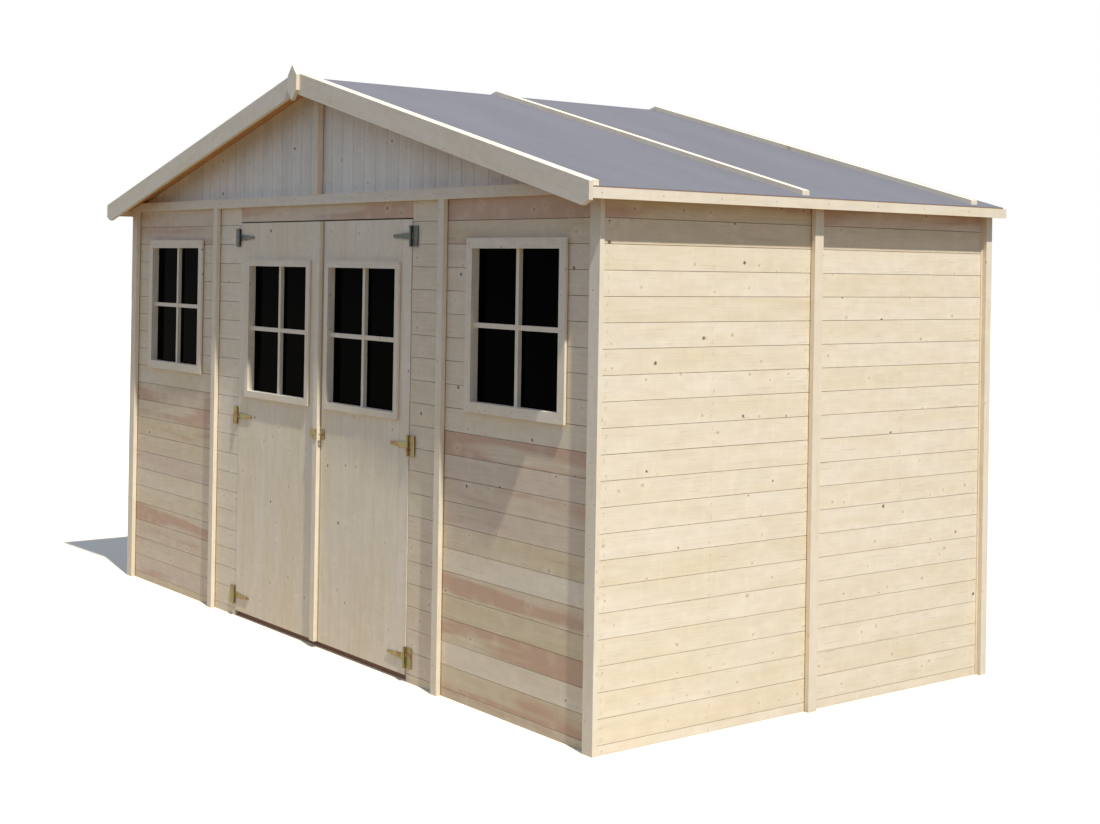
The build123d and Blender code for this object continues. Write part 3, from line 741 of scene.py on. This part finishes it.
def boards(name, plane, outlines, upright, finish, thickness=CLADDING, groove=1.0):
    """Boards grown from their outlines on the plane, which is their outer face.

    An outline is its points, and how red the board is.
    """
    sizes = bpy.context.scene.shed_boards
    mesh = bpy.data.meshes.new(name)
    verts, faces, widths, reds = [], [], [], []
    for points, red in outlines:
        faces.append(range(len(verts), len(verts) + len(points)))
        verts += [plane.at(p) - plane.normal * thickness for p in points]
        spread = [p[0] if upright else p[1] for p in points]
        widths.append(max(spread) - min(spread))
        reds.append(red)
    mesh.from_pydata(verts, [], [list(f) for f in faces])
    for label, values in (("board_width", widths), ("heartwood", reds)):
        mesh.attributes.new(label, "FLOAT", "FACE").data.foreach_set("value", values)
    values = {
        "Thickness": thickness,
        "Groove width": sizes.groove_width * groove,
        "Groove depth": sizes.groove_depth * groove,
        "Eased edge": sizes.eased_edge * groove,
        "Across": plane.u if upright else plane.v,
        "Seed": sizes.seed + len(name),
        "Material": finish_of(finish),
    }
    tree = bpy.data.node_groups.get("shed_boards") or board_tree()
    return put_in_scene(name, grown(put_in_scene(name, mesh), tree, values))


def framing(node, plane):
    """The frame behind a node's boards: a merged copy of the node, cut off at the back of the boards."""
    clearance = 0.0002
    cut = plane.origin - plane.normal * (CLADDING + clearance)
    shape = bmesh.new()
    shape.from_mesh(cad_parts[node].data)
    bmesh.ops.remove_doubles(shape, verts=shape.verts, dist=2 * MERGE_DISTANCE)
    everything = shape.verts[:] + shape.edges[:] + shape.faces[:]
    bmesh.ops.bisect_plane(
        shape, geom=everything, dist=MERGE_DISTANCE, plane_co=cut, plane_no=plane.normal, clear_outer=True
    )
    rim = [edge for edge in shape.edges if edge.is_boundary]
    bmesh.ops.triangle_fill(shape, edges=rim, use_beauty=True, normal=plane.normal)
    mesh = bpy.data.meshes.new(node + "_frame")
    shape.to_mesh(mesh)
    shape.free()
    mesh.materials.clear()
    mesh.materials.append(finish_of("framing"))
    return put_in_scene(node + "_frame", mesh)


def joined(name, pieces):
    """One piece made of several."""
    first = pieces[0]
    if len(pieces) > 1:
        with bpy.context.temp_override(active_object=first, object=first, selected_editable_objects=pieces):
            bpy.ops.object.join()
    first.name = name
    first.data.name = name
    return first


def stand_for(piece, node, body):
    """The piece replaces the node and rides on its body."""
    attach(piece, body)
    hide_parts(node)


def clad(node, plane, outlines, upright, finish, body="shed", groove=1.0):
    """Lays boards on the frame that the model gives the node, and puts them in its place."""
    skin = boards(node + "_boards", plane, outlines, upright, finish, groove=groove)
    piece = joined(node + "_boarding", [skin, framing(node, plane)])
    stand_for(piece, node, body)


def boarded_panel(node, plane, low, high, bottom, top, glass=None):
    """A wall panel's level boards, cut round its glass if it has a window."""
    hole = None
    if glass:
        sill, head = (corner.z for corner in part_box("window_panes"))
        hole = (
            (glass[0] - WINDOW_LINER, glass[1] + WINDOW_LINER),
            (sill - WINDOW_LINER, head + WINDOW_LINER),
        )
    cover = bpy.context.scene.shed_boards.cover
    reds, usual = HEARTWOOD_ROWS.get(node, {}), USUAL_HEARTWOOD.get(node, 0.0)
    outlines = []
    for edges in rows_between(bottom, top, FOOT_STRIP, cover):
        red = reds.get(round((edges[0] - FOOT_STRIP) / cover), usual)
        outlines += [(outline, red) for outline in board_outlines((low, high), edges, hole)]
    clad(node, plane, outlines, False, "level_boards")


def window_span(node, side, plane):
    """The edges of the glass on one side of a node that holds a pane on each side."""
    verts = [v.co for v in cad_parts[node].data.vertices if v.co.x * side > 0]
    places = [(v - plane.origin) @ plane.u for v in verts]
    return min(places), max(places)


class SHED_OT_walls(bpy.types.Operator):
    """Board the front, side and rear walls"""

    bl_idname = "shed.walls"
    bl_label = "Wall boards"

    def execute(self, context):
        for side, name in ((-1, "left"), (1, "right")):
            edges = sorted((side * JOINT_X, side * INNER_X))
            glass = window_span("window_panes", side, FRONT)
            boarded_panel(f"front_{name}_panel", FRONT, *edges, 0.0, WALL_TOP, glass)
            edges = sorted((side * DOORWAY_X, side * JOINT_X))
            boarded_panel(f"door_strip_{name}", FRONT, *edges, 0.0, WALL_TOP)
        boarded_panel("door_lintel", FRONT, -DOORWAY_X, DOORWAY_X, LINTEL_BOTTOM, WALL_TOP)
        side_top = roof_underside(SIDE_X)
        panels = (
            ("right_wall_front", RIGHT, FRONT_Y, 0.0, side_top),
            ("right_wall_rear", RIGHT, 0.0, INNER_Y, side_top),
            ("left_wall_front", LEFT, 0.0, -FRONT_Y, side_top),
            ("left_wall_rear", LEFT, -INNER_Y, 0.0, side_top),
            ("rear_panel_right", REAR, -SIDE_X, -JOINT_X, WALL_TOP),
            ("rear_panel_middle", REAR, -JOINT_X, JOINT_X, WALL_TOP),
            ("rear_panel_left", REAR, JOINT_X, SIDE_X, WALL_TOP),
        )
        for node, plane, low, high, top in panels:
            boarded_panel(node, plane, low, high, 0.0, top)
        return {"FINISHED"}


class SHED_OT_gables(bpy.types.Operator):
    """Board the gables with upright boards, cut to the roof's slope"""

    bl_idname = "shed.gables"
    bl_label = "Gable boards"

    def execute(self, context):
        gables = (
            ("front_gable_left", FRONT, -INNER_X, 0.0),
            ("front_gable_right", FRONT, 0.0, INNER_X),
            ("rear_gable_right", REAR, -SIDE_X, 0.0),
            ("rear_gable_left", REAR, 0.0, SIDE_X),
        )
        for node, plane, low, high in gables:
            outlines = [
                ([(a, WALL_TOP), (b, WALL_TOP), (b, roof_underside(b)), (a, roof_underside(a))], 0.0)
                for a, b in rows_between(low, high, 0.0, context.scene.shed_boards.cover)
            ]
            clad(node, plane, outlines, True, "gable_boards")
        return {"FINISHED"}


class SHED_OT_doors(bpy.types.Operator):
    """Board the two door leaves, and finish their windows and fittings"""

    bl_idname = "shed.doors"
    bl_label = "Door boards"

    def execute(self, context):
        for name in ("left", "right"):
            node = f"{name}_door_leaf"
            low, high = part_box(node)
            glass_low, glass_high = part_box(f"{name}_door_pane")
            hole = (
                (glass_low.z - WINDOW_LINER, glass_high.z + WINDOW_LINER),
                (glass_low.x - WINDOW_LINER, glass_high.x + WINDOW_LINER),
            )
            outlines = []
            for edges in rows_between(low.x, high.x, low.x, context.scene.shed_boards.cover):
                for outline in board_outlines((low.z, high.z), edges, hole):
                    outlines.append(([(x, z) for z, x in reversed(outline)], 0.0))
            clad(node, FRONT, outlines, True, "upright_boards", f"{name}_door", DOOR_GROOVE)
            dress(f"{name}_door_window", "door_casings")
            dress(f"{name}_door_pane", "glass")
            dress(f"{name}_hinge_straps", "zinc")
        dress("meeting_strip", "upright_trim")
        dress("hasp", "zinc")
        dress("hasp_staple", "zinc")
        return {"FINISHED"}


class SHED_OT_roof(bpy.types.Operator):
    """Lay the roof boards, which show under the eaves and inside, and finish the felt and its battens"""

    bl_idname = "shed.roof"
    bl_label = "Roof"

    def execute(self, context):
        length = DECK_EDGE / math.cos(PITCH)
        plumb_cut = DECK_THICKNESS * SLOPE
        for side, name in ((-1, "left"), (1, "right")):
            # The boards face down, so that their grooves show from below
            down = (side * math.cos(PITCH), 0, -math.sin(PITCH))
            plane = Plane((0, 0, RIDGE_UNDERSIDE), down, (0, -side, 0))
            low, high = sorted((-side * DECK_FRONT, -side * DECK_BACK))
            outlines = []
            for a, b in rows_between(0.0, length, 0.0, context.scene.shed_boards.cover):
                start = a + (plumb_cut if a == 0 else 0)
                stop = b - (plumb_cut if b == length else 0)
                outlines.append(([(start, low), (stop, low), (stop, high), (start, high)], 0.0))
            node = f"roof_boards_{name}"
            piece = boards(node + "_laid", plane, outlines, True, "deck_boards", DECK_THICKNESS)
            stand_for(piece, node, "shed")
        finishes = {
            "roof_felt": "felt",
            "roof_purlins": "long_trim",
            "felt_battens": "cross_trim",
            "eave_fascias": "long_trim",
            "front_bargeboard_left": "left_rake",
            "front_bargeboard_right": "right_rake",
            "finial": "upright_trim",
        }
        for node, finish in finishes.items():
            dress(node, finish)
        return {"FINISHED"}


class SHED_OT_floor(bpy.types.Operator):
    """Lay the floor boards"""

    bl_idname = "shed.floor"
    bl_label = "Floor"

    def execute(self, context):
        low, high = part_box("floor_boards")
        plane = Plane((0, 0, high.z), (1, 0, 0), (0, 1, 0))
        outlines = [
            ([(low.x, a), (high.x, a), (high.x, b), (low.x, b)], 0.0)
            for a, b in rows_between(low.y, high.y, low.y, context.scene.shed_boards.cover)
        ]
        piece = boards("floor_boards_laid", plane, outlines, False, "floor_boards", high.z - low.z)
        stand_for(piece, "floor_boards", "shed")
        dress("floor_bearers", "cross_trim")
        dress("threshold", "threshold")
        return {"FINISHED"}


class SHED_OT_trim(bpy.types.Operator):
    """Finish the cover battens, the trims, the wall windows and the hinge plates"""

    bl_idname = "shed.trim"
    bl_label = "Battens and trim"

    def execute(self, context):
        finishes = {
            "gable_trims": "level_trim",
            "corner_battens": "upright_trim",
            "joint_battens": "upright_trim",
            "window_frames": "wall_casings",
            "window_panes": "glass",
            "hinge_plates": "zinc",
        }
        for node, finish in finishes.items():
            dress(node, finish)
        return {"FINISHED"}


class SHED_OT_glazing_bars(bpy.types.Operator):
    """Set a cross of glazing bars in front of each pane"""

    bl_idname = "shed.glazing_bars"
    bl_label = "Glazing bars"

    def execute(self, context):
        sizes = context.scene.shed_glazing
        tree = bar_tree()
        panes = (
            ("wall_window_bars", "window_panes", (-1, 1), "shed"),
            ("left_door_bars", "left_door_pane", (-1,), "left_door"),
            ("right_door_bars", "right_door_pane", (1,), "right_door"),
        )
        for name, node, sides, body in panes:
            low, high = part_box(node)
            points = []
            for side in sides:
                a, b = window_span(node, side, FRONT)
                points.append(((a + b) / 2, low.y, (low.z + high.z) / 2))
            mesh = bpy.data.meshes.new(name)
            mesh.from_pydata(points, [], [])
            values = {
                "Glass width": b - a, "Glass height": high.z - low.z, "Bar width": sizes.bar_width,
                "Bar depth": sizes.bar_depth, "Material": finish_of("upright_trim"),
            }
            bars = put_in_scene(name, grown(put_in_scene(name, mesh), tree, values))
            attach(bars, body)
        return {"FINISHED"}


def heads(name, plane, points, body="shed", finish="nail"):
    """Nail or screw heads at points on a plane, each point with how far it stands before the plane."""
    sizes = bpy.context.scene.shed_fixings
    screws = finish == "zinc"
    mesh = bpy.data.meshes.new(name)
    mesh.from_pydata([plane.at(p[:2]) + plane.normal * p[2] for p in points], [], [])
    label = "shed_screw_heads" if screws else "shed_nail_heads"
    tree = bpy.data.node_groups.get(label) or head_tree(label, 14 if screws else 7)
    turn = Vector((0, 0, 1)).rotation_difference(plane.normal).to_euler()
    values = {
        "Radius": sizes.screw_radius if screws else sizes.nail_radius,
        "Rise": sizes.screw_rise if screws else sizes.nail_rise,
        "Facing": Vector(turn),
        "Material": finish_of(finish),
    }
    piece = put_in_scene(name, grown(put_in_scene(name, mesh), tree, values))
    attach(piece, body)


class SHED_OT_nails(bpy.types.Operator):
    """Nail the boards to their frames and the trims to the boards"""

    bl_idname = "shed.nails"
    bl_label = "Nails"

    def execute(self, context):
        cover = context.scene.shed_boards.cover
        margin = context.scene.shed_fixings.nail_margin
        rng = random.Random(3)

        def near(place, spread):
            return place + rng.uniform(-spread, spread)

        # Two nails in each board where it crosses a post, at these places along the walls
        walls = (
            ("front", FRONT, (-INNER_X + 0.07, -1.045, -0.955, -0.8, 0.8, 0.955, 1.045, INNER_X - 0.07)),
            ("rear", REAR, (-1.96, -1.5, -1.045, -0.955, -0.5, 0.0, 0.5, 0.955, 1.045, 1.5, 1.96)),
            ("right", RIGHT, (FRONT_Y + 0.02, -0.53, -0.04, 0.04, 0.51, INNER_Y - 0.03)),
            ("left", LEFT, (-INNER_Y + 0.03, -0.51, -0.04, 0.04, 0.53, -FRONT_Y - 0.02)),
        )
        for name, plane, places in walls:
            points = []
            for bottom, top in rows_between(0.0, WALL_TOP, FOOT_STRIP, cover):
                wide = top - bottom > 3 * margin
                lines = (bottom + margin, top - margin) if wide else ((bottom + top) / 2,)
                points += [(near(place, 0.006), near(z, 0.004), 0.0) for place in places for z in lines]
            heads(f"{name}_wall_nails", plane, points, finish="wall_nail")

        # Battens every 300 mm, the trim under the gable every 310 mm, and the window casings
        batten_rise = FRONT_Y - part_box("joint_battens")[0].y
        trim_low, trim_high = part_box("gable_trims")
        trim_middle = (trim_low.z + trim_high.z) / 2
        points = []
        for x in (-JOINT_X, JOINT_X, SIDE_X - 0.028, -SIDE_X + 0.028):
            points += [(near(x, 0.006), 0.12 + 0.3 * k, batten_rise) for k in range(7)]
        points += [(near(-1.85 + 0.31 * k, 0.03), trim_middle, batten_rise) for k in range(13)]
        low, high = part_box("window_frames")
        inset = 0.02
        for side in (-1, 1):
            a, b = window_span("window_frames", side, FRONT)
            for x in (a + inset, (a + b) / 2, b - inset):
                points += [(x, z, FRONT_Y - low.y) for z in (low.z + inset, high.z - inset)]
            points += [(x, (low.z + high.z) / 2, FRONT_Y - low.y) for x in (a + inset, b - inset)]
        heads("front_trim_nails", FRONT, points)

        low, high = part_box("eave_fascias")
        for name, side in (("right", 1), ("left", -1)):
            plane = Plane((side * high.x, 0, 0), (0, side, 0), (0, 0, 1))
            points = [(side * (DECK_FRONT + 0.04 + 0.28 * k), (low.z + high.z) / 2, 0.0) for k in range(8)]
            heads(f"{name}_fascia_nails", plane, points)

        points = []
        x = cover / 2
        while x < INNER_X - cover:
            for side in (-1, 1):
                for z in (WALL_TOP + 0.065, roof_underside(x) - 0.05):
                    if z < roof_underside(x) - 0.02:
                        points.append((side * near(x, 0.008), near(z, 0.004), 0.0))
            x += cover
        for name, plane in (("front", FRONT), ("rear", REAR)):
            heads(f"{name}_gable_nails", plane, points, finish="wall_nail")
        return {"FINISHED"}


def hinge_middles():
    """Heights of the hinges' middles, from the clusters of heights in the fixed plates."""
    gap = 0.2
    heights = sorted({round(v.co.z, 3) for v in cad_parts["hinge_plates"].data.vertices})
    starts = [z for below, z in zip([heights[0] - 1] + heights, heights) if z - below > gap]
    stops = [z for z, above in zip(heights, heights[1:] + [heights[-1] + 1]) if above - z > gap]
    return [(low + high) / 2 for low, high in zip(starts, stops)]


class SHED_OT_screws(bpy.types.Operator):
    """Screw the hinges and the hasp to the wood"""

    bl_idname = "shed.screws"
    bl_label = "Screws"

    def execute(self, context):
        plate_screws_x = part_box("hinge_plates")[1].x - 0.016
        plates, straps = [], {"left": [], "right": []}
        for middle in hinge_middles():
            for side, name in ((-1, "left"), (1, "right")):
                plates += [(side * plate_screws_x, middle + dz, PLATE_THICKNESS) for dz in (-0.03, 0.0, 0.03)]
                low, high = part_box(f"{name}_hinge_straps")
                root = high.x if side > 0 else low.x
                reaches = (0.03, 0.07, 0.118)
                straps[name] += [(root - side * reach, middle, PLATE_THICKNESS) for reach in reaches]
        heads("hinge_plate_screws", FRONT, plates, finish="zinc")
        low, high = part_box("hasp")
        straps["left"] += [(low.x + 0.014, (low.z + high.z) / 2, PLATE_THICKNESS)]
        for name, points in straps.items():
            heads(f"{name}_strap_screws", FRONT, points, f"{name}_door", "zinc")
        return {"FINISHED"}


def seen_plainly(tree):
    """1 where the eye sees a surface, in a mirror or through glass too, and 0 where it lights another one."""
    rays = add(tree, "ShaderNodeLightPath").outputs
    seen = rays["Is Camera Ray"]
    for ray in ("Is Glossy Ray", "Is Transmission Ray"):
        seen = add(tree, MATH, {0: seen, 1: rays[ray]}, operation="MAXIMUM")
    return seen


class SHED_OT_stage(bpy.types.Operator):
    """Set the floor, the lights and the camera"""

    bl_idname = "shed.stage"
    bl_label = "Stage"

    def execute(self, context):
        scene, studio = context.scene, context.scene.shed_studio
        scene.view_settings.view_transform = "Standard"

        material, tree, shader = blank("pale_studio_floor")
        # The floor looks white in the key light, and its warm base keeps the shadows grey under a blue sky.
        # It throws the warm light of dry ground on the walls, most of it from the 2 m before the doors,
        # so that the front grows lighter towards its foot
        place = add(tree, "ShaderNodeTexCoord").outputs["Object"]
        depth = add(tree, "ShaderNodeSeparateXYZ", {0: place}).outputs["Y"]
        depth = add(tree, "ShaderNodeMapRange", {0: depth, 1: FRONT_Y - 4.0, 2: FRONT_Y + 1.0})
        ground = add(tree, "ShaderNodeValToRGB", {"Fac": depth}).outputs["Color"]
        stops = ground.node.color_ramp.elements
        stops[0].position, stops[0].color = 0.3, linear("#4A4436") + [1]
        stops[1].position, stops[1].color = 1.0, linear("#7A6B4D") + [1]
        for position, hex_colour in ((0.48, "#A29478"), (0.82, "#A29478")):
            stops.new(position).color = linear(hex_colour) + [1]
        colours = {"Factor": seen_plainly(tree), 6: ground, 7: linear("#FDEED1") + [1]}
        colour = add(tree, MIX, colours, data_type="RGBA")
        tree.links.new(colour.outputs[2], shader.inputs["Base Color"])
        shader.inputs["Roughness"].default_value = 0.9
        shader.inputs["Specular IOR Level"].default_value = 0.0
        reach = 60.0
        mesh = bpy.data.meshes.new("floor")
        corners = [(-reach, -reach, 0), (reach, -reach, 0), (reach, reach, 0), (-reach, reach, 0)]
        mesh.from_pydata(corners, [], [(0, 1, 2, 3)])
        mesh.materials.append(material)
        put_in_scene("floor", mesh)

        world = bpy.data.worlds.new("pale_studio")
        scene.world = world
        world.use_nodes = True
        tree = world.node_tree
        background = next(n for n in tree.nodes if n.type == "BACKGROUND")
        colours = {"Factor": seen_plainly(tree), 6: [*studio.sky, 1], 7: [1, 1, 1, 1]}
        colour = add(tree, MIX, colours, data_type="RGBA")
        tree.links.new(colour.outputs[2], background.inputs["Color"])

        light = bpy.data.lights.new("key_light", "SUN")
        light.energy = studio.sun
        light.angle = math.radians(1)
        lamp = bpy.data.objects.new("key_light", light)
        scene.collection.objects.link(lamp)
        flat, up = math.cos(studio.sun_height), math.sin(studio.sun_height)
        towards = Vector((flat * math.cos(studio.sun_turn), -flat * math.sin(studio.sun_turn), up))
        lamp.rotation_mode = "QUATERNION"
        lamp.rotation_quaternion = towards.to_track_quat("Z", "Y")

        data = bpy.data.cameras.new("camera")
        camera = bpy.data.objects.new("camera", data)
        scene.collection.objects.link(camera)
        scene.camera = camera
        data.sensor_width = SENSOR_WIDTH
        data.lens = studio.focal_pixels / IMAGE_WIDTH * SENSOR_WIDTH
        data.shift_y = (studio.axis_row - IMAGE_HEIGHT / 2) / IMAGE_WIDTH
        turn = Matrix.Rotation(studio.heading, 4, "Z") @ Matrix.Rotation(math.pi / 2 + studio.tilt, 4, "X")
        turn = turn @ Matrix.Rotation(studio.roll, 4, "Z")
        camera.matrix_world = Matrix.Translation(studio.camera_place) @ turn
        return {"FINISHED"}


OPERATORS = (
    SHED_OT_stage, SHED_OT_walls, SHED_OT_gables, SHED_OT_doors, SHED_OT_roof, SHED_OT_floor, SHED_OT_trim,
    SHED_OT_glazing_bars, SHED_OT_nails, SHED_OT_screws,
)


class SHED_PT_panel(bpy.types.Panel):
    """Steps that dress the shed"""

    bl_idname = "SHED_PT_panel"
    bl_label = "Shed"
    bl_space_type = "VIEW_3D"
    bl_region_type = "UI"
    bl_category = "Shed"

    def draw(self, context):
        for operator in OPERATORS:
            self.layout.operator(operator.bl_idname)


GROUPS = {
    "shed_boards": ShedBoards,
    "shed_glazing": ShedGlazing,
    "shed_fixings": ShedFixings,
    "shed_finish": ShedFinish,
    "shed_studio": ShedStudio,
}


def register():
    for group in GROUPS.values():
        bpy.utils.register_class(group)
    for name, group in GROUPS.items():
        setattr(bpy.types.Scene, name, bpy.props.PointerProperty(type=group))
    for shown in (*OPERATORS, SHED_PT_panel):
        bpy.utils.register_class(shown)


def unregister():
    for shown in reversed((*OPERATORS, SHED_PT_panel)):
        bpy.utils.unregister_class(shown)
    for name, group in GROUPS.items():
        delattr(bpy.types.Scene, name)
        bpy.utils.unregister_class(group)


def main():
    register()
    for operator in OPERATORS:
        step = operator.bl_idname.split(".")[1]
        getattr(bpy.ops.shed, step)()


if __name__ == "__main__":
    main()
